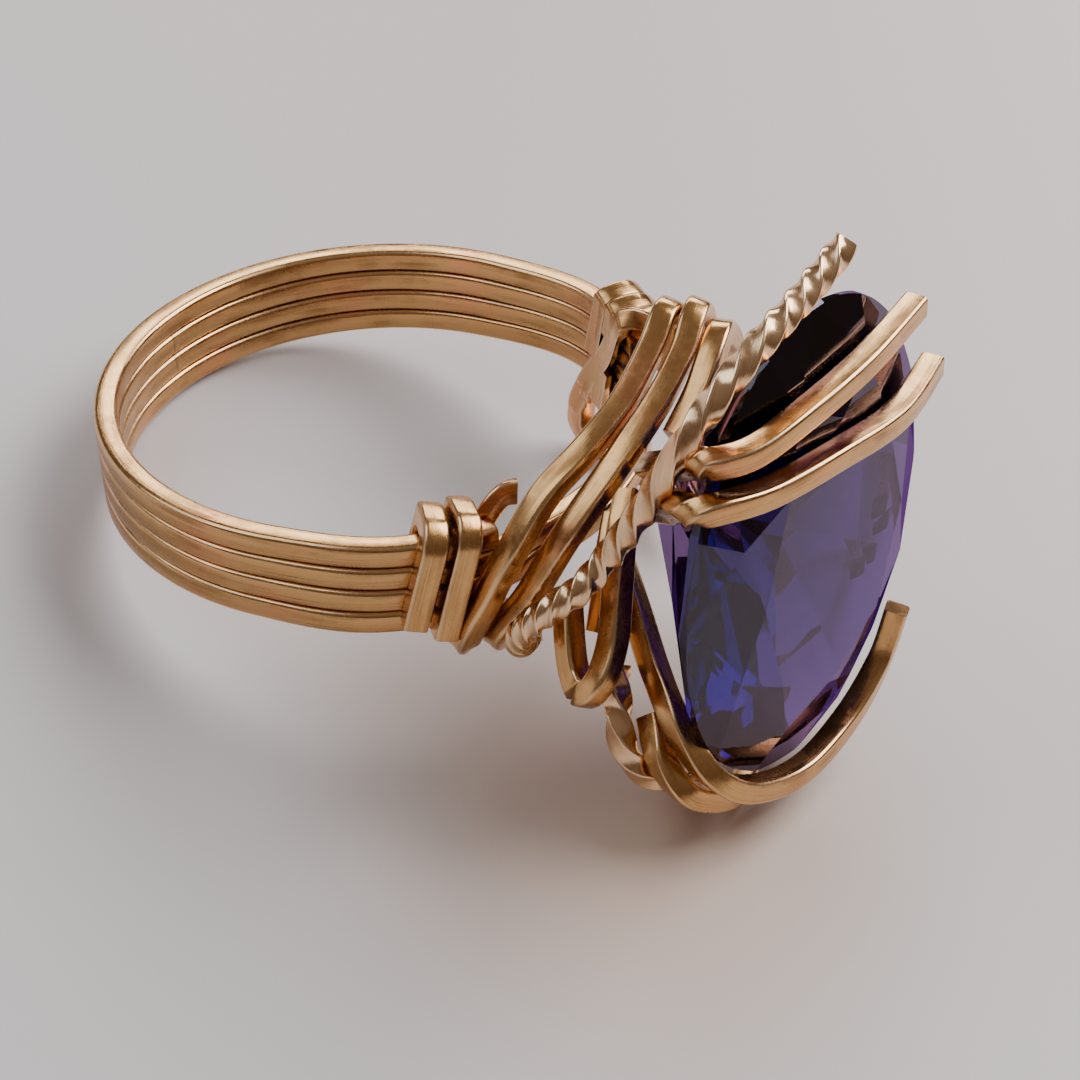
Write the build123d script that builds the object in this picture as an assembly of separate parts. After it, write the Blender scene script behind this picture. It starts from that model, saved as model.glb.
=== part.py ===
from build123d import *
import math
import os

# A finger ring of square wire. Four wires lie side by side round the finger and step outward at
# both shoulders, where other wires are wrapped round them and are worn thin inside. From the
# shoulders, plain and twisted wires sweep over the head of the ring and hold a large oval faceted
# stone by its edge.
# The ring is worked out with the finger's axis as Z and the stone towards +X, and is then tipped
# over until it lies on a surface as it would by itself.

# Driving sizes in millimetres
wire = 0.81              # side of the square wire
seam = 0.03              # gap between wires that lie against each other
finger_radius = 8.7      # inside of the band
shoulder_step = 0.36     # how far the band wires step outward over the inside of the wraps
wrap_corner = 0.12       # inside corner radius of the wraps
wrap_slack = 0.05        # gap between a wrap and the band wires that it holds
twist_side = 0.70        # side of the square wire that is twisted
twist_pitch = 1.1        # length along the twisted wire of a quarter turn
stone_half_width = 6.3
stone_half_length = 8.65
stone_crown = 1.2        # girdle to table
stone_girdle = 0.16
stone_pavilion = 6.1     # girdle to culet
stone_stand = 7.35       # finger hole's wall to the middle of the girdle
stone_shift = 0.5        # the stone sits a little to the far side
stone_rise = 0.25        # and a little above the band's middle

# Shares and angles
stone_turn = -8.6        # degrees that the stone's face turns towards the near side
table_share = 0.60       # table's radius as a share of the girdle's
star_share = 0.50        # how far the star facets reach from the table to the girdle
waist_share = 0.55       # the pavilion's radius where its upper facets end, as a share of the girdle's
waist_depth = 0.44       # and how far down that is, as a share of the pavilion
near_lean = -15.0        # degrees that the wraps lean, on the near side and on the far side
far_lean = 16.0
facets = 8
stand_parts = 9.074      # parts that the stand is counted in, where a route runs behind the stone
wire_step = 0.45         # length of one straight piece of a bent wire
twist_step = 0.22        # and of a twisted one

band_pitch = wire + seam
band_wires = 4
band_height = band_wires * wire + (band_wires - 1) * seam
band_middle = finger_radius + wire / 2
step_middle = band_middle + shoulder_step

stone_face = Vector(1, 0, 0).rotate(Axis.Z, stone_turn)
stone_across = Vector(0, 1, 0).rotate(Axis.Z, stone_turn)
stone_place = Vector(finger_radius + stone_stand, stone_shift, stone_rise)


def polar(turn, radius, height=0.0):
    """Point at an angle and a distance from the finger's axis."""
    return Vector(radius * math.cos(math.radians(turn)), radius * math.sin(math.radians(turn)), height)


def round_band(*rows):
    """Points given as turn in degrees, wires out from the finger and band heights up."""
    return [polar(turn, finger_radius + out * wire, rise * band_height) for turn, out, rise in rows]


def round_stone(*rows):
    """Points given as shares of the stone's half width and half length, and wires proud of it.

    Behind the stone's edge, where the third number is negative, it counts parts of its stand.
    """
    behind = stone_stand / stand_parts
    return [
        stone_place
        + stone_across * (across * stone_half_width)
        + Vector(0, 0, along * stone_half_length)
        + stone_face * (proud * (wire if proud > 0 else behind))
        for across, along, proud in rows
    ]


def smooth(points, step):
    """Even points on a smooth curve through the points given."""
    ends = [points[0] * 2 - points[1], *points, points[-1] * 2 - points[-2]]
    path = []
    for before, here, there, after in zip(ends, ends[1:], ends[2:], ends[3:]):
        count = max(2, round((there - here).length / step))
        lead = (there - before) * 0.5
        trail = (after - here) * 0.5
        for i in range(count):
            t = i / count
            path.append(
                here * (2 * t**3 - 3 * t**2 + 1)
                + lead * (t**3 - 2 * t**2 + t)
                + there * (3 * t**2 - 2 * t**3)
                + trail * (t**3 - t**2)
            )
    return path + [points[-1]]


def largest(shape):
    return shape.solids().sort_by(SortBy.VOLUME)[-1]


def worn(shape):
    """What is left outside the finger hole."""
    return largest(shape - Cylinder(finger_radius, 4 * band_height))


def closed_solid(rings, caps):
    """Solid between rings of points, with flat ends."""
    faces = [Face(Wire.make_polygon(list(cap), close=True)) for cap in caps]
    for ring, following in zip(rings, rings[1:]):
        for i in range(len(ring)):
            j = (i + 1) % len(ring)
            faces.append(Face(Wire.make_polygon([ring[i], ring[j], following[j]], close=True)))
            faces.append(Face(Wire.make_polygon([ring[i], following[j], following[i]], close=True)))
    return Solid(Shell(faces))


def bent_wire(points, side=wire, quarter_turn=None):
    """Square wire along a smooth path, one face away from the finger, or twisted as it goes."""
    path = smooth(points, twist_step if quarter_turn else wire_step)
    rings = []
    run = 0.0
    for i, place in enumerate(path):
        along = (path[min(i + 1, len(path) - 1)] - path[max(i - 1, 0)]).normalized()
        across = along.cross(Vector(place.X, place.Y, 0)).normalized()
        outward = across.cross(along)
        if i > 0:
            run += (place - path[i - 1]).length
        spin = math.radians(45 + (90 * run / quarter_turn if quarter_turn else 0))
        ring = []
        for corner in range(4):
            angle = spin + corner * math.pi / 2
            ring.append(place + (across * math.cos(angle) + outward * math.sin(angle)) * (side / math.sqrt(2)))
        rings.append(ring)
    return closed_solid(rings, (rings[0], rings[-1]))


def step_arcs(inner_turn, outer_turn):
    """Two tangent arcs that lead from the band's circle out to the stepped one.

    Returns the two centres and the radius that both arcs have.
    """
    spread = math.cos(math.radians(inner_turn - outer_turn))
    a = 2 * (spread - 1)
    b = 2 * (band_middle - step_middle) * (1 + spread)
    c = band_middle**2 + step_middle**2 - 2 * band_middle * step_middle * spread
    radius = (-b - math.sqrt(b * b - 4 * a * c)) / (2 * a)
    return polar(inner_turn, band_middle + radius), polar(outer_turn, step_middle - radius), radius


def step_edges(inner_turn, outer_turn, side):
    """The same two arcs as edges, moved outward by side, from the band's circle outward."""
    first, second, radius = step_arcs(inner_turn, outer_turn)
    join = first + (second - first).normalized() * (radius - side)
    start = polar(inner_turn, band_middle + side)
    end = polar(outer_turn, step_middle + side)
    to_first = (start - first).normalized() + (join - first).normalized()
    to_second = (join - second).normalized() + (end - second).normalized()
    return [
        ThreePointArc(start, first + to_first.normalized() * (radius - side), join),
        ThreePointArc(join, second + to_second.normalized() * (radius + side), end),
    ]


def ring_edge(radius, start, end):
    """Arc round the finger's axis."""
    return ThreePointArc(polar(start, radius), polar((start + end) / 2, radius), polar(end, radius))


def band_edges(turns, side):
    """One long edge of a band wire, through the turns where it changes from circle to step."""
    near_end, near_step, near_ring, far_ring, far_step, far_end = turns
    edges = [ring_edge(step_middle + side, near_end, near_step)]
    edges += step_edges(near_ring, near_step, side)
    edges.append(ring_edge(band_middle + side, near_ring, far_ring))
    edges += step_edges(far_ring, far_step, side)
    edges.append(ring_edge(step_middle + side, far_step, far_end))
    return edges


def band_wire(number):
    """A band wire: the outer two stop at the shoulders, the inner two go on through the head."""
    height = (1.5 - number) * band_pitch
    stagger = number * 2.0
    near_ring = 360 - 60.0 - stagger * 0.9
    far_ring = 76.5 + stagger
    near_step = near_ring + 10
    far_step = far_ring - 10
    half = wire / 2
    if number in (1, 2):
        head = (328.5, 338.0, 38.0, 48.0)
        turns = (head[0], near_step, near_ring, far_ring, far_step, head[3])
        outlines = []
        for side in (half, -half):
            edges = band_edges(turns, side)
            edges += step_edges(head[1], head[0], side) + step_edges(head[2], head[3], side)
            edges.append(ring_edge(band_middle + side, head[1] - 360, head[2]))
            outlines.append(Wire(edges))
        face = Face(outlines[0], [outlines[1]])
    else:
        turns = (327.5, near_step, near_ring, far_ring, far_step, 44.0)
        outer = band_edges(turns, half)
        inner = band_edges(turns, -half)
        ends = [
            Line(polar(turn, step_middle - half), polar(turn, step_middle + half))
            for turn in (turns[0], turns[-1])
        ]
        face = Face(Wire(outer + inner + ends))
    return Solid.extrude(face, Vector(0, 0, wire)).translate(Vector(0, 0, height - half))


def wrap(turn, lean, end=None):
    """A wire bent round the band wires, with its inside worn to the finger's circle.

    It is cut off at an end, given as a share of the band's height, or else goes all the way round.
    """
    inside = (finger_radius + shoulder_step - wrap_slack, step_middle + wire / 2 + wrap_slack)
    tilt = math.radians(abs(lean))
    width = inside[1] - inside[0]
    height = (band_height + wire * math.sin(tilt)) / math.cos(tilt) + 2 * wrap_slack
    place = Plane(
        origin=polar(turn, (inside[0] + inside[1]) / 2),
        x_dir=polar(turn, 1),
        z_dir=polar(turn + 90, 1).rotate(Axis(Vector(0, 0, 0), polar(turn, 1)), lean),
    )
    outline = RectangleRounded(width + 2 * wire, height + 2 * wire, wrap_corner + wire)
    opening = RectangleRounded(width, height, wrap_corner)
    loop = extrude(place * (outline - opening), wire / 2, both=True)
    reach = 2 * band_height
    if end is not None:
        middle = polar(turn, inside[0], end * band_height - reach / 2)
        loop = loop - Location(middle, (0, 0, turn)) * Box(reach, reach, reach)
    return worn(loop)


def stone():
    """Oval stone with a table, star, kite and edge facets above, and two rows of facets below."""
    half = math.pi / facets
    wide = 1 / math.cos(half / 2)
    star = table_share * math.cos(half)
    star += (1 - star) * star_share
    star_height = stone_crown * (1 - star * math.cos(half)) / (1 - table_share)
    top = stone_girdle / 2

    def corner(turns, share, height):
        angle = turns * half
        return (
            stone_place
            + stone_across * (stone_half_width * share * math.sin(angle))
            + Vector(0, 0, stone_half_length * share * math.cos(angle))
            + stone_face * height
        )

    table = [corner(2 * i, table_share, top + stone_crown) for i in range(facets)]
    stars = [corner(2 * i + 1, star, top + star_height) for i in range(facets)]
    upper = [corner(i, wide, top) for i in range(2 * facets)]
    lower = [corner(i, wide, -top) for i in range(2 * facets)]
    waist = [corner(2 * i + 1, waist_share, -top - stone_pavilion * waist_depth) for i in range(facets)]
    culet = corner(0, 0, -top - stone_pavilion)

    outlines = [table]
    for i in range(facets):
        after = (i + 1) % facets
        before = (i - 1) % facets
        edge = (2 * i, 2 * i + 1, (2 * i + 2) % (2 * facets))
        outlines += [
            [table[i], stars[i], table[after]],
            [table[i], upper[edge[0]], stars[i]],
            [table[after], stars[i], upper[edge[2]]],
            [stars[i], upper[edge[0]], upper[edge[1]]],
            [stars[i], upper[edge[1]], upper[edge[2]]],
            [waist[i], lower[edge[1]], lower[edge[0]]],
            [waist[i], lower[edge[2]], lower[edge[1]]],
            [waist[i], lower[edge[0]], waist[before]],
            [waist[i], waist[before], culet],
        ]
    for i in range(2 * facets):
        j = (i + 1) % (2 * facets)
        outlines.append([upper[i], lower[i], lower[j], upper[j]])
    cut = Solid(Shell([Face(Wire.make_polygon(outline, close=True)) for outline in outlines]))
    girdle = Plane(origin=stone_place, x_dir=stone_across, z_dir=stone_face)
    return largest(cut & extrude(girdle * Ellipse(stone_half_width, stone_half_length), 2 * stone_pavilion, both=True))


# Routes of the bent wires. Round the band each row is the turn in degrees, wires out from the
# finger and band heights up. Round the stone each row is the share of its half width across,
# the share of its half length up, and wires proud of its edge or parts of the stand behind it.
def upper_diagonal(side=wire):
    return bent_wire(round_band(
        (-25.2, 0.10, 0.62),
        (-28.6, -0.08, 0.61),
        (-32.6, -0.14, 0.38),
        (-35.0, -0.14, 0.00),
        (-37.2, -0.14, -0.42),
        (-38.6, 0.30, -0.66),
        (-40.0, 1.20, -0.69),
        (-40.7, 1.85, -0.60),
        (-39.7, 2.15, -0.40),
        (-37.3, 2.35, -0.12),
        (-35.0, 2.55, 0.18),
        (-32.0, 2.70, 0.50),
        (-26.0, 2.60, 0.93),
        (-17.6, 2.60, 1.22),
        (-7.8, 2.50, 1.47),
        (1.5, 2.40, 1.77),
        (7.2, 2.35, 1.96),
        (11.5, 2.35, 1.86),
        (14.0, 2.20, 1.50),
        (17.0, 1.90, 1.08),
    ), side)


def lower_diagonal():
    return bent_wire(round_band(
        (-28.0, 0.65, -0.60),
        (-31.6, 1.05, -0.72),
        (-34.0, 1.65, -0.70),
        (-34.7, 2.25, -0.54),
        (-32.5, 2.60, -0.33),
        (-29.9, 2.85, -0.10),
        (-25.6, 3.35, 0.42),
        (-21.8, 3.50, 0.72),
        (-13.4, 3.55, 1.14),
        (-4.6, 3.62, 1.49),
        (3.0, 3.60, 1.76),
        (7.6, 3.50, 1.95),
        (10.8, 3.45, 1.96),
        (13.8, 3.40, 1.75),
        (16.6, 3.35, 1.42),
        (19.8, 3.20, 1.05),
    ))


def short_wire():
    return bent_wire(round_band(
        (-6.0, 4.70, 1.22),
        (0.0, 4.70, 1.50),
        (5.5, 4.62, 1.76),
        (10.0, 4.50, 1.80),
        (15.0, 4.50, 1.48),
        (20.0, 4.35, 1.00),
    ))


def upper_twist():
    start = round_band(
        (-26.6, 2.25, -0.74),
        (-29.4, 2.85, -0.73),
        (-31.2, 3.50, -0.56),
        (-31.3, 4.00, -0.34),
        (-29.8, 4.30, -0.09),
        (-26.4, 4.60, 0.16),
        (-22.5, 4.92, 0.48),
    )
    end = round_stone(
        (-0.90, 0.435, -2.70),
        (-0.914, 0.661, -1.42),
        (-0.745, 0.865, -0.32),
        (-0.46, 1.015, 0.12),
        (-0.135, 1.08, 0.12),
        (0.21, 1.18, 0.20),
    )
    return bent_wire(start + end, twist_side, twist_pitch)


def lower_twist():
    return bent_wire(round_stone(
        (-0.80, -0.43, -4.45),
        (-0.90, -0.53, -3.75),
        (-0.97, -0.665, -3.05),
        (-0.90, -0.80, -2.30),
        (-0.69, -0.905, -1.80),
        (-0.44, -1.02, -2.25),
        (-0.20, -0.97, -3.30),
        (-0.08, -0.80, -4.60),
    ), twist_side, twist_pitch)


def upper_prong():
    return bent_wire(round_stone(
        (-0.48, 0.33, -4.70),
        (-0.60, 0.44, -3.30),
        (-0.705, 0.55, -1.75),
        (-0.85, 0.673, -0.20),
        (-0.832, 0.70, 0.63),
        (-0.67, 0.715, 1.30),
        (-0.34, 0.75, 1.64),
        (0.15, 0.775, 1.62),
        (0.71, 0.795, 1.45),
    ))


def lower_prong():
    return bent_wire(round_stone(
        (-0.53, 0.16, -4.60),
        (-0.66, 0.285, -3.40),
        (-0.765, 0.38, -1.95),
        (-0.893, 0.488, -0.90),
        (-0.955, 0.533, 0.22),
        (-0.895, 0.555, 1.00),
        (-0.62, 0.535, 1.68),
        (-0.19, 0.53, 2.16),
        (0.38, 0.485, 2.10),
        (0.92, 0.475, 1.55),
    ))


def front_frame_wire():
    return bent_wire(round_stone(
        (-0.43, -0.18, -6.50),
        (-0.55, -0.31, -4.90),
        (-0.68, -0.45, -3.20),
        (-0.81, -0.57, -1.24),
        (-0.80, -0.72, 0.20),
        (-0.58, -0.88, 0.90),
        (-0.15, -0.99, 1.15),
        (0.30, -0.955, 1.05),
        (0.60, -0.80, 1.05),
        (0.70, -0.57, 1.30),
    ))


def rear_frame_wire():
    return bent_wire(round_stone(
        (-0.79, -0.60, -2.75),
        (-0.90, -0.69, -1.60),
        (-0.89, -0.80, -0.60),
        (-0.74, -0.90, -0.25),
        (-0.51, -1.00, -0.30),
        (-0.28, -1.045, -0.80),
        (-0.02, -1.05, -1.80),
        (0.26, -1.035, -2.50),
        (0.53, -1.00, -2.95),
        (0.74, -0.89, -3.20),
        (0.86, -0.70, -3.50),
        (0.90, -0.42, -4.00),
        (0.86, -0.15, -4.70),
        (0.80, 0.10, -5.40),
    ))


def shoulder_wire(side=wire):
    return bent_wire(round_band(
        (22.0, 3.20, 0.10),
        (28.0, 3.10, 0.42),
        (36.0, 2.95, 0.60),
        (42.0, 2.30, 0.68),
        (46.2, 1.10, 0.71),
        (49.3, -0.10, 0.53),
        (54.9, -0.14, 0.08),
        (62.1, -0.14, -0.34),
        (66.3, 0.05, -0.66),
        (69.5, 0.50, -0.98),
        (71.1, 0.75, -1.26),
        (69.0, 1.30, -1.54),
        (59.0, 1.95, -1.65),
        (48.0, 2.60, -1.60),
        (38.0, 3.30, -1.46),
    ), side)


def outer_loop_wire():
    return bent_wire(round_stone(
        (-0.45, 0.16, -5.90),
        (-0.63, 0.06, -5.20),
        (-0.77, -0.09, -4.55),
        (-0.88, -0.25, -4.10),
        (-1.02, -0.36, -3.85),
        (-1.07, -0.44, -4.40),
        (-1.00, -0.40, -5.35),
        (-0.93, -0.29, -6.00),
        (-0.88, -0.12, -6.40),
    ))


def inner_loop_wire():
    return bent_wire(round_stone(
        (-0.40, 0.00, -6.80),
        (-0.56, -0.10, -6.20),
        (-0.67, -0.22, -5.75),
        (-0.76, -0.33, -5.45),
    ))


def lowest(shapes):
    return min(shape.bounding_box().min.Z for shape in shapes)


def resting_place(band, near_foot, far_foot):
    """The tip and the roll that let the ring stand on its band and on its two lowest wires."""
    tip = roll = 0.0
    for _ in range(12):
        turned = Location((0, 0, 0), (roll, tip, 0))
        heights = [lowest([turned * shape for shape in group]) for group in (band, near_foot, far_foot)]
        rise = (heights[1] + heights[2]) / 2 - heights[0]
        tip += math.degrees(rise / (2 * finger_radius + stone_stand))
        roll -= math.degrees((heights[2] - heights[1]) / stone_half_length)
    return tip, roll


def build_pieces():
    pieces = {f"band_wire_{number + 1}": band_wire(number) for number in range(band_wires)}
    under_near_wraps = upper_diagonal(wire + 2 * wrap_slack)
    under_far_wraps = shoulder_wire(wire + 4 * wrap_slack)
    pieces["near_wrap_1"] = wrap(-48.2, near_lean, end=-0.30)
    pieces["near_wrap_2"] = largest(wrap(-42.2, near_lean, end=-0.47) - under_near_wraps)
    pieces["far_wrap_1"] = largest(wrap(61.6, far_lean) - under_far_wraps)
    pieces["far_wrap_2"] = largest(wrap(55.7, far_lean) - under_far_wraps)
    pieces["upper_diagonal"] = worn(upper_diagonal())
    pieces["lower_diagonal"] = lower_diagonal()
    pieces["short_wire"] = short_wire()
    pieces["upper_twist"] = upper_twist()
    pieces["lower_twist"] = lower_twist()
    pieces["upper_prong"] = upper_prong()
    pieces["lower_prong"] = lower_prong()
    pieces["front_frame_wire"] = front_frame_wire()
    pieces["rear_frame_wire"] = rear_frame_wire()
    pieces["shoulder_wire"] = worn(shoulder_wire())
    pieces["outer_loop_wire"] = outer_loop_wire()
    pieces["inner_loop_wire"] = inner_loop_wire()
    pieces["stone"] = stone()
    return pieces


pieces = build_pieces()
band = [pieces[f"band_wire_{number + 1}"] for number in range(band_wires)]
tip, roll = resting_place(band, [pieces["lower_twist"]], [pieces["rear_frame_wire"]])
turned = Location((0, 0, 0), (roll, tip, 0))
boxes = [(turned * piece).bounding_box() for piece in pieces.values()]
low = [min(tuple(box.min)[axis] for box in boxes) for axis in range(3)]
high = [max(tuple(box.max)[axis] for box in boxes) for axis in range(3)]
move = (-(low[0] + high[0]) / 2, -(low[1] + high[1]) / 2, -low[2])
settled = Location(move) * turned

os.makedirs("parts", exist_ok=True)
for name, piece in pieces.items():
    export_step(settled * piece, f"parts/{name}.step")
print(f"tip {tip:.3f} roll {roll:.3f} move {move[0]:.4f} {move[1]:.4f} {move[2]:.4f}")
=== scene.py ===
import math

import bpy
from mathutils import Matrix, Vector


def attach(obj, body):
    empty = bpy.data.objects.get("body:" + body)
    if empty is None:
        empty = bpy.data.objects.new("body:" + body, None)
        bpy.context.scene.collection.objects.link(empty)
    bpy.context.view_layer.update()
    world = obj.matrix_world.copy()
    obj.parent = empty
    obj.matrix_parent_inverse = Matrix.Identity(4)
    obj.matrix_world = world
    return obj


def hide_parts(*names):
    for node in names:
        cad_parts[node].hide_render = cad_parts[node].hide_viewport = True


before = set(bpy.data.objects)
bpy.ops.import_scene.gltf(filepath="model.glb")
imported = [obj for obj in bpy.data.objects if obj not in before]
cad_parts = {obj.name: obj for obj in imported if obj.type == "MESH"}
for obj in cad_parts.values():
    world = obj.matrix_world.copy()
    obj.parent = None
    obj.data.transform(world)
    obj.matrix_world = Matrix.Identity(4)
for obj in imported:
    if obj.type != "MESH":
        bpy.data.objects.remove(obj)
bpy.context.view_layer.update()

# The ring is laid out, as its solids are, with the finger's axis as Z and the stone towards +X,
# in millimetres. settled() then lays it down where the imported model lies, in metres.
MM = 0.001
TIP, ROLL = math.radians(-17.7604), math.radians(-0.0823)
MOVE = Vector((-4.8626, -0.1766, 4.4872))
LAID = Matrix.Rotation(ROLL, 3, "X") @ Matrix.Rotation(TIP, 3, "Y")

WIRE = 0.81             # side of the square wire
SEAM = 0.03             # gap between the band's wires
FINGER = 8.7            # radius of the finger hole
SHOULDER_STEP = 0.36    # how far the band's wires step outward inside the wraps
BAND_WIRES = 4
BAND_PITCH = WIRE + SEAM
BAND_HEIGHT = BAND_WIRES * WIRE + (BAND_WIRES - 1) * SEAM
BAND_MIDDLE = FINGER + WIRE / 2
WRAP_SLACK = 0.05       # gap between a wrap and the band's wires
TWIST_SIDE = 0.76       # side of the wire that is twisted

HALF_WIDTH = 6.3
HALF_LENGTH = 8.65
STONE_STAND = 7.35      # finger hole's wall to the middle of the stone's edge
STONE_SHIFT = 0.5       # to the far side
STONE_RISE = 0.25       # above the band's middle
STONE_TURN = math.radians(-8.6)
STONE_FACE = Vector((math.cos(STONE_TURN), math.sin(STONE_TURN), 0))
STONE_ACROSS = Vector((-math.sin(STONE_TURN), math.cos(STONE_TURN), 0))
STONE_PLACE = Vector((FINGER + STONE_STAND, STONE_SHIFT, STONE_RISE))

# A material's mix node has its two colours at these inputs, and its mixed colour at this output
BELOW, ABOVE, MIXED = 6, 7, 2


def settled(point):
    """A point of the layout, in metres where the ring lies."""
    return (LAID @ point + MOVE) * MM


def polar(turn, radius, height=0.0):
    """A point at an angle in degrees and a distance from the finger's axis."""
    angle = math.radians(turn)
    return Vector((radius * math.cos(angle), radius * math.sin(angle), height))


def round_band(*rows):
    """Points from turn in degrees, wires out from the finger and band heights up."""
    return [polar(turn, FINGER + out * WIRE, rise * BAND_HEIGHT) for turn, out, rise in rows]


def round_stone(*rows):
    """Points from shares of the stone's half width and half length, and wires proud of it."""
    return [
        STONE_PLACE + STONE_ACROSS * (across * HALF_WIDTH) + Vector((0, 0, along * HALF_LENGTH))
        + STONE_FACE * (proud * WIRE)
        for across, along, proud in rows
    ]


# ---- node helpers

class Tree:
    """Builds a node tree: values are set, and sockets of other nodes are linked."""

    def __init__(self, tree):
        self.tree = tree

    def put(self, value, socket):
        if isinstance(value, bpy.types.NodeSocket):
            self.tree.links.new(value, socket)
        elif isinstance(value, bpy.types.Node):
            self.tree.links.new(value.outputs[0], socket)
        elif value is not None:
            socket.default_value = value

    def add(self, kind, inputs=None, **settings):
        node = self.tree.nodes.new(kind)
        for name, value in settings.items():
            setattr(node, name, value)
        for name, value in (inputs or {}).items():
            self.put(value, node.inputs[name])
        return node

    def math(self, operation, *values):
        node = self.tree.nodes.new("ShaderNodeMath")
        node.operation = operation
        for i, value in enumerate(values):
            self.put(value, node.inputs[i])
        return node.outputs[0]

    def vector(self, operation, *values):
        node = self.tree.nodes.new("ShaderNodeVectorMath")
        node.operation = operation
        for i, value in enumerate(values):
            self.put(value, node.inputs[i])
        one_number = operation in ("LENGTH", "DOT_PRODUCT", "DISTANCE")
        return node.outputs["Value" if one_number else "Vector"]

    def scale(self, vector, amount):
        node = self.tree.nodes.new("ShaderNodeVectorMath")
        node.operation = "SCALE"
        self.put(vector, node.inputs[0])
        self.put(amount, node.inputs["Scale"])
        return node.outputs[0]

    def spread(self, value, low, high, smooth=False):
        """The value's share of the way from low to high, kept between 0 and 1."""
        kind = "SMOOTHSTEP" if smooth else "LINEAR"
        node = self.add("ShaderNodeMapRange", interpolation_type=kind)
        for name, amount in (("Value", value), ("From Min", low), ("From Max", high)):
            self.put(amount, node.inputs[name])
        return node.outputs[0]


def named_group(name, kind, inputs, outputs):
    """A node tree with named sockets, given as (name, type, value)."""
    tree = bpy.data.node_groups.new(name, kind)
    for label, socket, value in inputs:
        made = tree.interface.new_socket(label, in_out="INPUT", socket_type=socket)
        if value is not None:
            made.default_value = value
    for label, socket in outputs:
        tree.interface.new_socket(label, in_out="OUTPUT", socket_type=socket)
    return tree, tree.nodes.new("NodeGroupInput"), tree.nodes.new("NodeGroupOutput")


# ---- geometry: one square wire that follows a path

CORNER_POINTS = 7       # on each bend of a wrap
EDGE_POINTS = 4         # on each rounded edge of the wire
END_SHARE = 0.16        # how much narrower a cut end is
END_DEPTH = 0.00001     # metres of wire that count as its end face
UNEVEN_SCALE = 340.0    # how fine the unevenness of hand-bent wire is
UNTWISTED = 1000.0      # metres to a quarter turn


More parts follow.
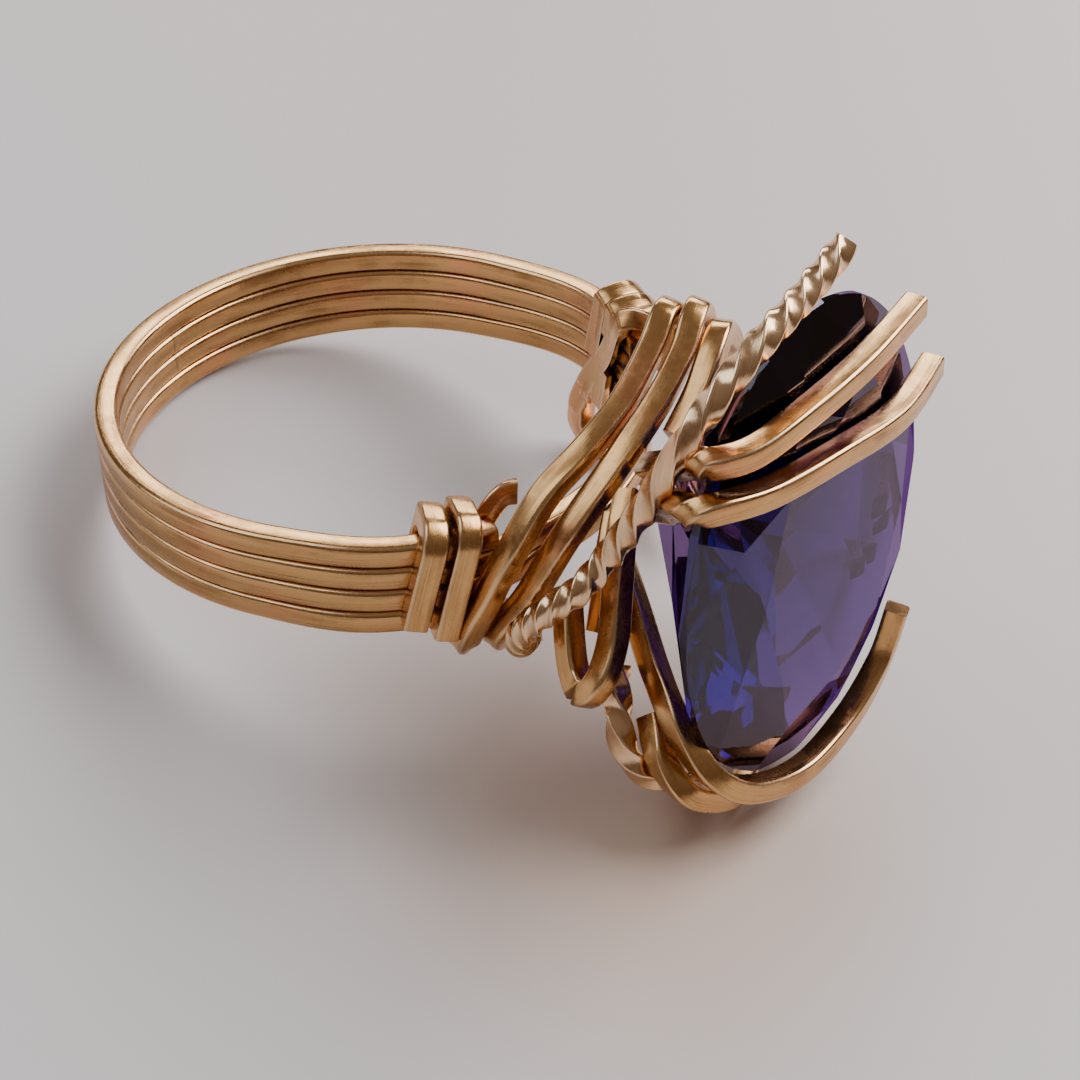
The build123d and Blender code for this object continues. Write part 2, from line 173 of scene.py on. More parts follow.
def wire_tree():
    """Sweeps a rounded square along the path, with one face away from the finger's axis."""
    tree, given, made = named_group("wire_along_path", "GeometryNodeTree", [
        ("Path", "NodeSocketGeometry", None),
        ("Side", "NodeSocketFloat", WIRE * MM),
        ("Edge", "NodeSocketFloat", 0.14 * MM),
        ("Bend", "NodeSocketFloat", 0.0),
        ("Quarter Turn", "NodeSocketFloat", UNTWISTED),
        ("Step", "NodeSocketFloat", 0.15 * MM),
        ("Rounded End", "NodeSocketFloat", 0.1 * MM),
        ("Unevenness", "NodeSocketFloat", 0.014 * MM),
        ("Seed", "NodeSocketFloat", 0.0),
        ("Hole Radius", "NodeSocketFloat", FINGER * MM),
        ("Hole Centre", "NodeSocketVector", None),
        ("Hole Axis", "NodeSocketVector", (0.0, 0.0, 1.0)),
        ("Loop Axis", "NodeSocketVector", (0.0, 0.0, 0.0)),
        ("Turned", "NodeSocketFloat", 0.0),
        ("Tighter Ends", "NodeSocketFloat", 0.0),
        ("Tighter Start", "NodeSocketFloat", 0.0),
        ("Finish", "NodeSocketMaterial", None),
    ], [("Geometry", "NodeSocketGeometry")])
    t = Tree(tree)
    g = given.outputs

    line = t.add("GeometryNodeMeshToCurve", {"Mesh": g["Path"]})
    cornered = t.add("GeometryNodeFilletCurve", {"Curve": line, "Radius": g["Bend"]}, mode="POLY")
    cornered.inputs["Count"].default_value = CORNER_POINTS
    cornered.inputs["Limit Radius"].default_value = True
    flowing = t.add("GeometryNodeCurveSplineType", {"Curve": line}, spline_type="CATMULL_ROM")
    pick = t.add("GeometryNodeSwitch", {
        "Switch": t.math("GREATER_THAN", g["Bend"], 0.0), "False": flowing, "True": cornered,
    }, input_type="GEOMETRY")
    even = t.add("GeometryNodeResampleCurve", {"Curve": pick, "Length": g["Step"]}, mode="LENGTH")

    place = t.add("GeometryNodeInputPosition")
    along = t.add("GeometryNodeInputTangent")
    spoke = t.vector("SUBTRACT", place, g["Hole Centre"])
    rise = t.vector("DOT_PRODUCT", spoke, g["Hole Axis"])
    outward = t.vector("SUBTRACT", spoke, t.scale(g["Hole Axis"], rise))
    across = t.vector("NORMALIZE", t.vector("CROSS_PRODUCT", along, outward))
    in_loop = t.math("GREATER_THAN", t.vector("LENGTH", g["Loop Axis"]), 0.5)
    side = t.add("GeometryNodeSwitch", {"Switch": in_loop, "False": across, "True": g["Loop Axis"]},
                 input_type="VECTOR")
    facing = t.vector("CROSS_PRODUCT", side, along)
    turned = t.add("GeometryNodeSetCurveNormal", {"Curve": even, "Normal": facing}, mode="FREE")
    run = t.add("GeometryNodeSplineParameter")
    # Quarter turns along the wire, more of them to the millimetre near its ends
    size = t.add("GeometryNodeSplineLength")
    wave = t.math("SINE", t.math("MULTIPLY", run.outputs["Factor"], 2 * math.pi))
    swing = t.math("MULTIPLY", g["Tighter Ends"],
                   t.math("DIVIDE", size.outputs["Length"], 2 * math.pi))
    extra = t.math("MULTIPLY", wave, swing)
    hump = t.math("MULTIPLY", run.outputs["Factor"],
                  t.math("SUBTRACT", 1.0, run.outputs["Factor"]))
    lead = t.math("MULTIPLY", hump, t.math("MULTIPLY", g["Tighter Start"], size.outputs["Length"]))
    wound = t.math("ADD", run.outputs["Length"], t.math("ADD", extra, lead))
    turns = t.math("DIVIDE", wound, g["Quarter Turn"])
    tilt = t.math("ADD", g["Turned"], t.math("MULTIPLY", turns, -math.pi / 2))
    tilted = t.add("GeometryNodeSetCurveTilt", {"Curve": turned, "Tilt": tilt})

    # The last stretch of an open wire narrows to a rounded cut end
    to_end = t.math("MINIMUM", run.outputs["Length"],
                    t.math("SUBTRACT", size.outputs["Length"], run.outputs["Length"]))
    share = t.math("SUBTRACT", 1.0, t.spread(to_end, 0.0, g["Rounded End"]))
    narrow = t.math("SUBTRACT", 1.0,
                    t.math("MULTIPLY", END_SHARE, t.math("MULTIPLY", share, share)))
    ended = t.add("GeometryNodeSetCurveRadius", {"Curve": tilted, "Radius": narrow})
    noted = t.add("GeometryNodeCaptureAttribute", {"Geometry": ended}, domain="POINT")
    noted.capture_items.new("FLOAT", "Along")
    t.put(run.outputs["Length"], noted.inputs["Along"])
    noted.capture_items.new("FLOAT", "Tip")
    t.put(t.math("LESS_THAN", to_end, END_DEPTH), noted.inputs["Tip"])

    square = t.add("GeometryNodeCurvePrimitiveQuadrilateral",
                   {"Width": g["Side"], "Height": g["Side"]})
    softened = t.add("GeometryNodeFilletCurve", {"Curve": square, "Radius": g["Edge"]}, mode="POLY")
    softened.inputs["Count"].default_value = EDGE_POINTS
    fine = t.add("GeometryNodeSubdivideCurve", {"Curve": softened})
    fine.inputs["Cuts"].default_value = 1
    rim = t.add("GeometryNodeCaptureAttribute", {"Geometry": fine}, domain="POINT")
    rim.capture_items.new("FLOAT", "Round")
    rim_run = t.add("GeometryNodeSplineParameter")
    t.put(rim_run.outputs["Factor"], rim.inputs["Round"])
    rim.capture_items.new("FLOAT", "Corner")
    rim_place = t.add("ShaderNodeSeparateXYZ", {"Vector": t.add("GeometryNodeInputPosition")})
    inset = t.math("MINIMUM", t.math("ABSOLUTE", rim_place.outputs["X"]),
                   t.math("ABSOLUTE", rim_place.outputs["Y"]))
    t.put(t.math("DIVIDE", inset, t.math("MULTIPLY", g["Side"], 0.5)), rim.inputs["Corner"])

    swept = t.add("GeometryNodeCurveToMesh", {
        "Curve": noted.outputs["Geometry"], "Profile Curve": rim.outputs["Geometry"],
    })
    swept.inputs["Fill Caps"].default_value = True

    spot = t.add("GeometryNodeInputPosition")
    rough = t.add("ShaderNodeTexNoise", {
        "Vector": spot, "W": g["Seed"], "Scale": UNEVEN_SCALE, "Detail": 1.0, "Roughness": 0.4,
    }, noise_dimensions="4D")
    lift = t.math("MULTIPLY", t.math("SUBTRACT", rough.outputs[0], 0.5),
                  t.math("MULTIPLY", g["Unevenness"], 2.0))
    normal = t.add("GeometryNodeInputNormal")
    uneven = t.add("GeometryNodeSetPosition", {
        "Geometry": swept, "Offset": t.scale(normal.outputs[0], lift),
    })

    # The inside is worn to the finger's circle
    here = t.add("GeometryNodeInputPosition")
    arm = t.vector("SUBTRACT", here, g["Hole Centre"])
    level = t.scale(g["Hole Axis"], t.vector("DOT_PRODUCT", arm, g["Hole Axis"]))
    flat = t.vector("SUBTRACT", arm, level)
    reach = t.math("MAXIMUM", t.vector("LENGTH", flat), g["Hole Radius"])
    moved = t.vector("ADD", level, t.scale(t.vector("NORMALIZE", flat), reach))
    clear = t.vector("ADD", g["Hole Centre"], moved)
    worn = t.add("GeometryNodeSetPosition", {"Geometry": uneven, "Position": clear})

    kept = worn.outputs[0]
    for label, value in (("along", noted.outputs["Along"]), ("round", rim.outputs["Round"]),
                         ("corner", rim.outputs["Corner"]), ("tip", noted.outputs["Tip"])):
        store = t.add("GeometryNodeStoreNamedAttribute",
                      {"Geometry": kept, "Name": label, "Value": value},
                      data_type="FLOAT", domain="POINT")
        kept = store.outputs[0]
    soft = t.add("GeometryNodeSetShadeSmooth", {"Geometry": kept})
    real = t.add("GeometryNodeRealizeInstances", {"Geometry": soft})
    finish = t.add("GeometryNodeSetMaterial", {"Geometry": real, "Material": g["Finish"]})
    tree.links.new(finish.outputs[0], made.inputs["Geometry"])
    return tree


def plain_mesh(name, path, tree, values, closed=False):
    """Runs a tree on a path of points, in millimetres, and returns the plain mesh it makes."""
    points = [settled(point) for point in path]
    edges = [(i, i + 1) for i in range(len(points) - 1)]
    if closed:
        edges.append((len(points) - 1, 0))
    line = bpy.data.meshes.new(name + "_line")
    line.from_pydata(points, edges, [])
    guide = bpy.data.objects.new(name + "_line", line)
    bpy.context.scene.collection.objects.link(guide)
    modifier = guide.modifiers.new("wire", "NODES")
    modifier.node_group = tree
    for item in tree.interface.items_tree:
        if item.in_out == "INPUT" and item.name in values:
            modifier[item.identifier] = values[item.name]
    shown = guide.evaluated_get(bpy.context.evaluated_depsgraph_get())
    mesh = bpy.data.meshes.new_from_object(shown)
    bpy.data.objects.remove(guide)
    bpy.data.meshes.remove(line)
    mesh.name = name
    piece = bpy.data.objects.new(name, mesh)
    bpy.context.scene.collection.objects.link(piece)
    return piece


# ---- materials

# How fine the wear is: the larger the number, the smaller the marks
PATCHES = 350.0
SMUDGES = 700.0
SPECKLES = 5200.0
STREAKS_ALONG, STREAKS_AROUND = 260.0, 9.0
SCRATCHES_ALONG, SCRATCHES_AROUND = 900.0, 60.0

# Where a pattern starts to mark the wire, and where it marks it fully
COPPER_RANGE = 0.50, 0.72
STREAK_RANGE = 0.42, 0.66
SMUDGE_RANGE = 0.30, 0.62
DULL_RANGE = 0.35, 0.65
EDGE_RANGE = 0.72, 0.97
CUT_RANGE = 0.75, 1.0

# How strongly each mark colours or roughens the gold
COPPER_TINT, TARNISH_TINT, EDGE_TINT, CUT_TINT = 0.75, 0.6, 0.55, 0.6
DULL_ROUGHNESS, TARNISH_ROUGHNESS = 0.16, 0.14
BUMP_STRENGTH, BUMP_DEPTH = 0.35, 0.00002
EDGE_GOLD = (0.97, 0.80, 0.55)


def wire_wear():
    """Masks and heights for handled wire: copper patches, tarnish and fine scratches along it."""
    tree, given, made = named_group("wire_wear", "ShaderNodeTree", [
        ("Seed", "NodeSocketFloat", 0.0),
    ], [
        ("Copper", "NodeSocketFloat"), ("Tarnish", "NodeSocketFloat"),
        ("Dullness", "NodeSocketFloat"), ("Height", "NodeSocketFloat"), ("Edge", "NodeSocketFloat"),
    ])
    t = Tree(tree)
    g = given.outputs
    spot = t.add("ShaderNodeTexCoord").outputs["Object"]
    along = t.add("ShaderNodeAttribute", attribute_name="along").outputs["Fac"]
    around = t.add("ShaderNodeAttribute", attribute_name="round").outputs["Fac"]
    corner = t.add("ShaderNodeAttribute", attribute_name="corner").outputs["Fac"]

    def noise(vector, scale, detail, shift):
        made_noise = t.add("ShaderNodeTexNoise", {
            "Vector": vector, "W": t.math("ADD", g["Seed"], shift),
            "Scale": scale, "Detail": detail,
        }, noise_dimensions="4D")
        return made_noise.outputs[0]

    def run_with_wire(stretch, turns):
        return t.add("ShaderNodeCombineXYZ", {
            "X": t.math("MULTIPLY", along, stretch), "Y": t.math("MULTIPLY", around, turns),
            "Z": g["Seed"],
        }).outputs[0]

    patches = noise(spot, PATCHES, 3.0, 0.0)
    t.put(t.spread(patches, *COPPER_RANGE, smooth=True), made.inputs["Copper"])
    streaks = noise(run_with_wire(STREAKS_ALONG, STREAKS_AROUND), 1.0, 3.0, 2.0)
    smudge = noise(spot, SMUDGES, 3.0, 4.0)
    dark = t.math("MULTIPLY", t.spread(streaks, *STREAK_RANGE, smooth=True),
                  t.spread(smudge, *SMUDGE_RANGE))
    t.put(dark, made.inputs["Tarnish"])
    scratches = noise(run_with_wire(SCRATCHES_ALONG, SCRATCHES_AROUND), 1.0, 2.0, 6.0)
    speckle = noise(spot, SPECKLES, 2.0, 8.0)
    dull = t.math("ADD", t.math("MULTIPLY", smudge, 0.6), t.math("MULTIPLY", speckle, 0.4))
    t.put(t.spread(dull, *DULL_RANGE), made.inputs["Dullness"])
    height = t.math("ADD", t.math("MULTIPLY", scratches, 0.5),
                    t.math("ADD", t.math("MULTIPLY", speckle, 0.35), smudge))
    t.put(height, made.inputs["Height"])
    t.put(t.spread(corner, *EDGE_RANGE), made.inputs["Edge"])
    return tree


def worn_gold(name, tint, copper, tarnish, seed, polish):
    """Gold-filled wire: copper patches, brown tarnish, brighter edges and dark cut ends."""
    material = bpy.data.materials.new(name)
    material.use_nodes = True
    t = Tree(material.node_tree)
    shader = material.node_tree.nodes["Principled BSDF"]
    wear = t.add("ShaderNodeGroup", node_tree=WEAR)
    wear.inputs["Seed"].default_value = seed

    def tinted(share, below, above):
        mix = t.add("ShaderNodeMix", data_type="RGBA")
        t.put(share, mix.inputs["Factor"])
        for socket, value in ((mix.inputs[BELOW], below), (mix.inputs[ABOVE], above)):
            if isinstance(value, tuple):
                socket.default_value = (*value, 1)
            else:
                t.put(value, socket)
        return mix.outputs[MIXED]

    tip = t.add("ShaderNodeAttribute", attribute_name="tip").outputs["Fac"]
    colour = tint
    for mark, strength, above in (
        (wear.outputs["Copper"], COPPER_TINT, copper),
        (wear.outputs["Tarnish"], TARNISH_TINT, tarnish),
        (wear.outputs["Edge"], EDGE_TINT, EDGE_GOLD),
        (t.spread(tip, *CUT_RANGE), CUT_TINT, tarnish),
    ):
        colour = tinted(t.math("MULTIPLY", mark, strength), colour, above)
    t.put(colour, shader.inputs["Base Color"])
    rough = t.math("ADD", t.math("MULTIPLY", wear.outputs["Dullness"], DULL_ROUGHNESS),
                   t.math("MULTIPLY", wear.outputs["Tarnish"], TARNISH_ROUGHNESS))
    t.put(t.math("ADD", rough, polish), shader.inputs["Roughness"])
    shader.inputs["Metallic"].default_value = 1.0
    bump = t.add("ShaderNodeBump", {"Height": wear.outputs["Height"]})
    bump.inputs["Strength"].default_value = BUMP_STRENGTH
    bump.inputs["Distance"].default_value = BUMP_DEPTH
    t.put(bump, shader.inputs["Normal"])
    return material


def violet_stone():
    """Clear violet glass with a tinted film, deeper in colour the longer the way through it."""
    material = bpy.data.materials.new("violet_stone")
    material.use_nodes = True
    t = Tree(material.node_tree)
    shader = material.node_tree.nodes["Principled BSDF"]
    shader.inputs["Base Color"].default_value = (0.34, 0.27, 0.52, 1)
    shader.inputs["Roughness"].default_value = 0.0
    shader.inputs["IOR"].default_value = 1.69
    shader.inputs["Transmission Weight"].default_value = 1.0
    shader.inputs["Coat Weight"].default_value = 1.0
    shader.inputs["Coat Roughness"].default_value = 0.0
    shader.inputs["Coat IOR"].default_value = 1.0
    shader.inputs["Coat Tint"].default_value = (0.87, 0.81, 0.91, 1)
    depth = t.add("ShaderNodeVolumeAbsorption")
    depth.inputs["Color"].default_value = (0.30, 0.14, 0.60, 1)
    depth.inputs["Density"].default_value = 430.0
    t.put(depth.outputs[0], material.node_tree.nodes["Material Output"].inputs["Volume"])
    return material


WEAR = wire_wear()
GOLD = worn_gold("gold_wire", tint=(0.67, 0.385, 0.155), copper=(0.78, 0.33, 0.16),
                 tarnish=(0.20, 0.09, 0.03), seed=1.0, polish=0.13)
TWISTED_GOLD = worn_gold("twisted_gold", tint=(0.92, 0.64, 0.38), copper=(0.80, 0.40, 0.21),
                         tarnish=(0.28, 0.13, 0.05), seed=4.0, polish=0.11)
STONE = violet_stone()

# ---- the wires

SWEEP = wire_tree()
HOLE = {
    "Hole Centre": settled(Vector((0, 0, 0))),
    "Hole Axis": LAID @ Vector((0, 0, 1)),
    "Hole Radius": FINGER * MM,
}


def wire_piece(node, path, seed, closed=False, material=None, **values):
    """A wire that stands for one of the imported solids."""
    sizes = {"Seed": float(seed), "Finish": material or GOLD, **HOLE, **values}
    piece = plain_mesh(node + "_wire", path, SWEEP, sizes, closed)
    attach(piece, "root")
    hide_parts(node)


def blend_step(turn, start, end):
    """From 0 at the start to 1 at the end, without a corner."""
    share = min(1.0, max(0.0, (turn - start) / (end - start)))
    return share * share * (3 - 2 * share)


BAND_POINTS = 240
BAND_CUTS = 44.0, 327.5                 # degrees where the outer two wires end
STAGGER = 2.0                           # degrees that each wire steps outward after the last
NEAR_STEP, FAR_STEP = -60.0, 76.5       # degrees where the first wire steps outward
NEAR_SHARE = 0.9                        # as much of the stagger on the near side
STEP_OUTSIDE, STEP_INSIDE = 16, 10      # degrees that a step takes up before and after that
HEAD_STEPS = (38, 48), (-31.5, -22)     # degrees where the middle two step back at the head


def band_path(number):
    """Round the finger, stepping outward over the inside of the wraps at both shoulders."""
    height = ((BAND_WIRES - 1) / 2 - number) * BAND_PITCH
    stagger = number * STAGGER
    near, far = NEAR_STEP - stagger * NEAR_SHARE, FAR_STEP + stagger
    through = number in (1, 2)
    first, last = (-180.0, 180.0) if through else BAND_CUTS
    path = []
    for i in range(BAND_POINTS + (0 if through else 1)):
        turn = first + (last - first) * i / BAND_POINTS
        bare = (turn + 180) % 360 - 180
        lift = (blend_step(bare, near - STEP_OUTSIDE, near + STEP_INSIDE)
                - blend_step(bare, far - STEP_INSIDE, far + STEP_OUTSIDE))
        if through:
            lift += blend_step(bare, *HEAD_STEPS[0]) - blend_step(bare, *HEAD_STEPS[1])
        path.append(polar(turn, BAND_MIDDLE + SHOULDER_STEP * lift, height))
    return path, through


def wrap_path(turn, lean, start, end, under):
    """Round the band wires, as a leaning rectangle, and its axis.

    Start and end are in band heights up, on the inside and the outside, or both on the inside
    where the wrap goes on under the band.
    """
    inside = FINGER + SHOULDER_STEP - WRAP_SLACK - WIRE / 2
    outside = BAND_MIDDLE + SHOULDER_STEP + WIRE + WRAP_SLACK
    tilt = math.radians(lean)
    held = (BAND_HEIGHT + WIRE * math.sin(abs(tilt))) / math.cos(tilt)
    top = held / 2 + WRAP_SLACK + WIRE / 2
    spoke, side = polar(turn, 1), polar(turn + 90, 1)
    up = Vector((0, 0, math.cos(tilt))) - side * math.sin(tilt)
    first, last = (share * BAND_HEIGHT / math.cos(tilt) for share in (start, end))
    corners = [(inside, first), (inside, top), (outside, top)]
    corners += [(outside, -top), (inside, -top), (inside, last)] if under else [(outside, last)]
    path = [spoke * reach + up * rise for reach, rise in corners]
    return path, LAID @ spoke.cross(up).normalized()


for number in range(BAND_WIRES):
    path, through = band_path(number)
    wire_piece(f"band_wire_{number + 1}", path, number, closed=through,
               Step=0.3 * MM, Edge=0.18 * MM, Unevenness=0.006 * MM)

# Node, degrees round the finger, lean, start, end, whether it goes on under the band, and the
# radius of its bends
WRAPS = (
    ("near_wrap_1", -48.2, -15.0, -0.30, -0.30, False, 0.56),
    ("near_wrap_2", -42.2, -15.0, -0.47, -0.47, False, 0.56),
    ("far_wrap_1", 61.6, 16.0, -0.10, -0.58, True, 0.74),
    ("far_wrap_2", 55.7, 16.0, 0.28, -0.15, True, 0.74),
)
for seed, (node, turn, lean, start, end, under, bend) in enumerate(WRAPS, start=10):
    path, axis = wrap_path(turn, lean, start, end, under)
    wire_piece(node, path, seed, **{"Bend": bend * MM, "Loop Axis": axis})

# The diagonals lie with a face between outward and the near side
TURNED = math.radians(14)

wire_piece("upper_diagonal", round_band(
    (-25.2, 0.10, 0.62),
    (-28.6, -0.08, 0.61),
    (-32.6, -0.14, 0.38),
    (-35.0, -0.14, 0.00),
    (-37.2, -0.14, -0.42),
    (-38.6, 0.30, -0.66),
    (-40.0, 1.20, -0.69),
    (-40.7, 1.85, -0.60),
    (-39.7, 2.15, -0.40),
    (-37.3, 2.35, -0.12),
    (-35.0, 2.55, 0.18),
    (-32.0, 2.70, 0.50),
    (-26.0, 2.60, 0.93),
    (-17.6, 2.60, 1.22),
    (-7.8, 2.50, 1.47),
    (1.5, 2.40, 1.77),
    (7.2, 2.35, 1.96),
    (11.5, 2.35, 1.86),
    (14.0, 2.20, 1.50),
    (17.0, 1.90, 1.08),
), 20, Turned=TURNED)

wire_piece("lower_diagonal", round_band(
    (-28.0, 0.65, -0.60),
    (-31.6, 1.05, -0.72),
    (-34.0, 1.65, -0.70),
    (-34.7, 2.25, -0.54),
    (-32.5, 2.60, -0.33),
    (-29.9, 2.85, -0.10),
    (-25.6, 3.35, 0.42),
    (-21.8, 3.50, 0.72),
    (-13.4, 3.55, 1.14),
    (-4.6, 3.62, 1.49),
    (3.0, 3.60, 1.76),
    (7.6, 3.50, 1.95),
    (10.8, 3.45, 1.96),
    (13.8, 3.40, 1.75),
    (16.6, 3.35, 1.42),
    (19.8, 3.20, 1.05),
), 21, Turned=TURNED)

wire_piece("short_wire", round_band(
    (-6.0, 4.70, 1.22),
    (0.0, 4.70, 1.50),
    (5.5, 4.62, 1.76),
    (10.0, 4.50, 1.80),
    (15.0, 4.50, 1.48),
    (20.0, 4.35, 1.00),
), 22)

TWIST = {"Side": TWIST_SIDE * MM, "Quarter Turn": 1.1 * MM, "Step": 0.07 * MM, "Edge": 0.12 * MM}
UPPER_TWIST = {**TWIST, "Quarter Turn": 0.92 * MM, "Tighter Ends": 0.42, "Tighter Start": 0.42}

wire_piece("upper_twist", round_band(
    (-28.0, 2.00, -0.72),
    (-31.0, 2.50, -0.71),
    (-32.8, 3.10, -0.54),
    (-32.7, 3.65, -0.32),
    (-30.1, 4.32, -0.06),
    (-25.9, 4.88, 0.17),
    (-22.0, 5.25, 0.49),
) + round_stone(
    (-0.905, 0.445, -2.25),
    (-0.914, 0.656, -1.12),
    (-0.745, 0.865, -0.32),
    (-0.46, 1.015, 0.12),
    (-0.135, 1.08, 0.12),
    (0.21, 1.18, 0.20),
), 23, material=TWISTED_GOLD, **UPPER_TWIST)

wire_piece("lower_twist", round_stone(
    (-0.80, -0.43, -4.45),
    (-0.90, -0.53, -3.75),
    (-0.97, -0.665, -3.05),
    (-0.90, -0.80, -2.30),
    (-0.69, -0.905, -1.80),
    (-0.44, -1.02, -2.25),
    (-0.20, -0.97, -3.30),
    (-0.08, -0.80, -4.60),
), 24, material=TWISTED_GOLD, **TWIST)

wire_piece("upper_prong", round_stone(
    (-0.48, 0.33, -4.70),
    (-0.60, 0.44, -3.30),
    (-0.705, 0.55, -1.75),
    (-0.85, 0.673, -0.20),
    (-0.832, 0.70, 0.63),
    (-0.67, 0.715, 1.30),
    (-0.34, 0.75, 1.64),
    (0.15, 0.775, 1.62),
    (0.71, 0.795, 1.05),
), 25)

wire_piece("lower_prong", round_stone(
    (-0.53, 0.16, -4.60),
    (-0.66, 0.285, -3.40),
    (-0.765, 0.38, -1.95),
    (-0.893, 0.488, -0.90),
    (-0.955, 0.533, 0.22),
    (-0.895, 0.555, 1.00),
    (-0.62, 0.535, 1.68),
    (-0.19, 0.53, 2.16),
    (0.38, 0.485, 2.10),
    (0.90, 0.475, 1.12),
), 26)

wire_piece("front_frame_wire", round_stone(
    (-0.43, -0.18, -6.50),
    (-0.55, -0.31, -4.90),
    (-0.68, -0.45, -3.20),
    (-0.81, -0.57, -1.24),
    (-0.80, -0.72, 0.20),
    (-0.58, -0.88, 0.90),
    (-0.15, -0.99, 1.15),
    (0.30, -0.955, 1.05),
    (0.60, -0.80, 1.05),
    (0.70, -0.57, 1.30),
), 27)

wire_piece("rear_frame_wire", round_stone(
    (-0.79, -0.60, -2.75),
    (-0.90, -0.69, -1.60),
    (-0.89, -0.80, -0.60),
    (-0.74, -0.90, -0.25),
    (-0.51, -1.00, -0.30),
    (-0.28, -1.045, -0.80),
    (-0.02, -1.05, -1.80),
    (0.26, -1.035, -2.50),
    (0.53, -1.00, -2.95),
    (0.74, -0.89, -3.20),
    (0.86, -0.70, -3.50),
    (0.90, -0.42, -4.00),
    (0.86, -0.15, -4.70),
    (0.80, 0.10, -5.40),
), 28)

wire_piece("shoulder_wire", round_band(
    (22.0, 3.20, 0.10),
    (28.0, 3.10, 0.42),
    (36.0, 2.95, 0.60),
    (42.0, 2.30, 0.68),
    (46.2, 1.10, 0.71),
    (49.3, -0.10, 0.53),
    (54.9, -0.14, 0.08),
    (62.1, -0.14, -0.34),
    (66.3, 0.05, -0.66),
    (69.5, 0.50, -0.98),
    (71.1, 0.75, -1.26),
    (69.0, 1.30, -1.54),
    (59.0, 1.95, -1.65),
    (48.0, 2.60, -1.60),
    (38.0, 3.30, -1.46),
), 29)

wire_piece("outer_loop_wire", round_stone(
    (-0.45, 0.16, -5.90),
    (-0.63, 0.06, -5.20),
    (-0.77, -0.09, -4.55),
    (-0.88, -0.25, -4.10),
    (-1.02, -0.36, -3.85),
    (-1.07, -0.44, -4.40),
    (-1.00, -0.40, -5.35),
    (-0.93, -0.29, -6.00),
    (-0.88, -0.12, -6.40),
), 30)

wire_piece("inner_loop_wire", round_stone(
    (-0.40, 0.00, -6.80),
    (-0.56, -0.10, -6.20),
    (-0.67, -0.22, -5.75),
    (-0.76, -0.33, -5.45),
), 31)

# ---- the stone keeps its solid, with a better material

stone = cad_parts["stone"]
stone.data.materials.clear()
stone.data.materials.append(STONE)

# ---- floor, light and camera


FLOOR_REACH = 0.6
# Painted warm light: the floor's colour turns warmer towards the back
FLOOR_BACK, PAINTED_WARM_LIGHT_REACH = (0.2, 0.98, 0.0), 0.05         # as seen from the camera
# Painted light: the floor's colour is lighter towards the right
FLOOR_RIGHT, PAINTED_LIGHT_REACH = (0.857, 0.515, 0.0), 0.04
# Painted warm shade beside the gold setting: a darker, browner floor colour standing for shade lit
# by light thrown back from the gold
PAINTED_BOUNCE_SHADE_PLACE, PAINTED_BOUNCE_SHADE_REACH, PAINTED_BOUNCE_SHADE_CORE = (0.010, -0.005, 0.0), 0.015, 0.001
PAINTED_BOUNCE_SHADE_STRENGTH = 0.75


def floor():
    """Pale floor, warmer towards the back as painted warm light, lighter on the right as painted
    light, and warm beside the gold setting as painted shade warmed by light thrown back from the
    gold.
    """
    mesh = bpy.data.meshes.new("floor")
    corners = [(-1, -1), (1, -1), (1, 1), (-1, 1)]
    mesh.from_pydata([(x * FLOOR_REACH, y * FLOOR_REACH, 0) for x, y in corners], [],
                     [(0, 1, 2, 3)])
    piece = bpy.data.objects.new("floor", mesh)
    bpy.context.scene.collection.objects.link(piece)
    material = bpy.data.materials.new("pale_floor")
    material.use_nodes = True
    t = Tree(material.node_tree)
    shader = material.node_tree.nodes["Principled BSDF"]
    spot = t.add("ShaderNodeTexCoord").outputs["Object"]

    def over(colour, above, share):
        mix = t.add("ShaderNodeMix", {"Factor": share, BELOW: colour}, data_type="RGBA")
        mix.inputs[ABOVE].default_value = above
        return mix.outputs[MIXED]

    back = t.spread(t.vector("DOT_PRODUCT", spot, FLOOR_BACK), 0.0, PAINTED_WARM_LIGHT_REACH)
    right = t.spread(t.vector("DOT_PRODUCT", spot, FLOOR_RIGHT), 0.0, PAINTED_LIGHT_REACH)
    near = t.spread(t.vector("DISTANCE", spot, PAINTED_BOUNCE_SHADE_PLACE), PAINTED_BOUNCE_SHADE_REACH, PAINTED_BOUNCE_SHADE_CORE, smooth=True)
    # Painted warm light towards the back of the floor
    tone = over((0.66, 0.635, 0.65, 1), (0.64, 0.54, 0.50, 1), back)
    # Painted light on the right of the floor
    tone = over(tone, (0.78, 0.73, 0.73, 1), right)
    # Painted warm shade beside the gold setting, warmed by painted light thrown back from the gold
    tone = over(tone, (0.60, 0.42, 0.30, 1), t.math("MULTIPLY", near, PAINTED_BOUNCE_SHADE_STRENGTH))
    t.put(tone, shader.inputs["Base Color"])
    shader.inputs["Roughness"].default_value = 0.6
    mesh.materials.append(material)


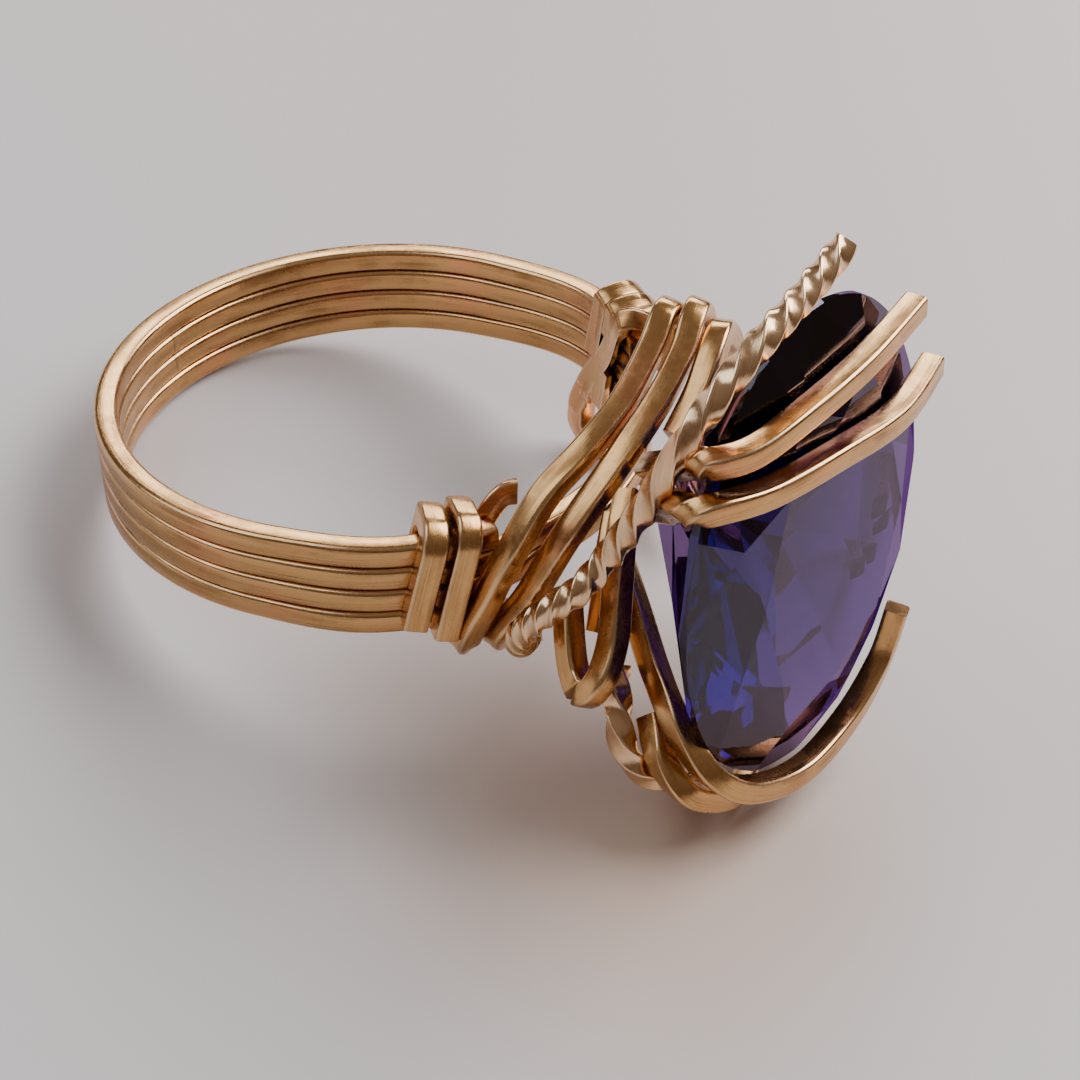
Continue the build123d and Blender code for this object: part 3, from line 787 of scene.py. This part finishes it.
def area_light(name, place, size, power, colour):
    """A rectangular light that faces the ring."""
    data = bpy.data.lights.new(name, "AREA")
    data.shape = "RECTANGLE"
    data.size, data.size_y = size
    data.energy = power
    data.color = colour
    lamp = bpy.data.objects.new(name, data)
    lamp.location = place
    lamp.rotation_euler = (-Vector(place)).to_track_quat("-Z", "Y").to_euler()
    bpy.context.scene.collection.objects.link(lamp)


SENSOR = 36.0
FOCAL_PIXELS, PICTURE_PIXELS = 2500, 1080


def camera():
    """Where the photograph was taken from, given in the ring's own layout."""
    place = Vector((42.958, -58.272, 47.441))
    forward = Vector((-0.42805, 0.68443, -0.59019))
    upward = Vector((-0.28718, 0.51618, 0.80690))
    data = bpy.data.cameras.new("camera")
    data.sensor_width = SENSOR
    data.lens = SENSOR * FOCAL_PIXELS / PICTURE_PIXELS
    data.clip_start, data.clip_end = 0.001, 10.0
    eye = bpy.data.objects.new("camera", data)
    forward, upward = LAID @ forward, LAID @ upward
    right = forward.cross(upward).normalized()
    upward = right.cross(forward)
    turn = Matrix((right, upward, -forward)).transposed()
    eye.matrix_world = Matrix.Translation(settled(place)) @ turn.to_4x4()
    bpy.context.scene.collection.objects.link(eye)
    bpy.context.scene.camera = eye


def surroundings():
    """A dim warm room, a little brighter above."""
    world = bpy.data.worlds.new("room")
    bpy.context.scene.world = world
    world.use_nodes = True
    t = Tree(world.node_tree)
    back = world.node_tree.nodes["Background"]
    sky = t.add("ShaderNodeTexCoord").outputs["Generated"]
    way = t.add("ShaderNodeSeparateXYZ", {"Vector": sky})
    ramp = t.add("ShaderNodeValToRGB", {"Fac": t.spread(way.outputs["Z"], -0.1, 1.0)})
    ramp.color_ramp.elements[0].color = (0.16, 0.10, 0.07, 1)
    ramp.color_ramp.elements[1].color = (0.42, 0.35, 0.30, 1)
    t.put(ramp.outputs[0], back.inputs["Color"])
    back.inputs["Strength"].default_value = 0.6


floor()
camera()
surroundings()
# Name, place, size, watts and colour
area_light("window", (0.09, 0.23, 0.30), (0.28, 0.28), 1.8, (1.0, 0.97, 0.96))
area_light("low_window", (-0.19, 0.27, 0.15), (0.24, 0.10), 0.42, (0.96, 0.98, 1.0))
area_light("side_fill", (-0.25, -0.14, 0.22), (0.26, 0.26), 0.46, (0.84, 0.91, 1.0))
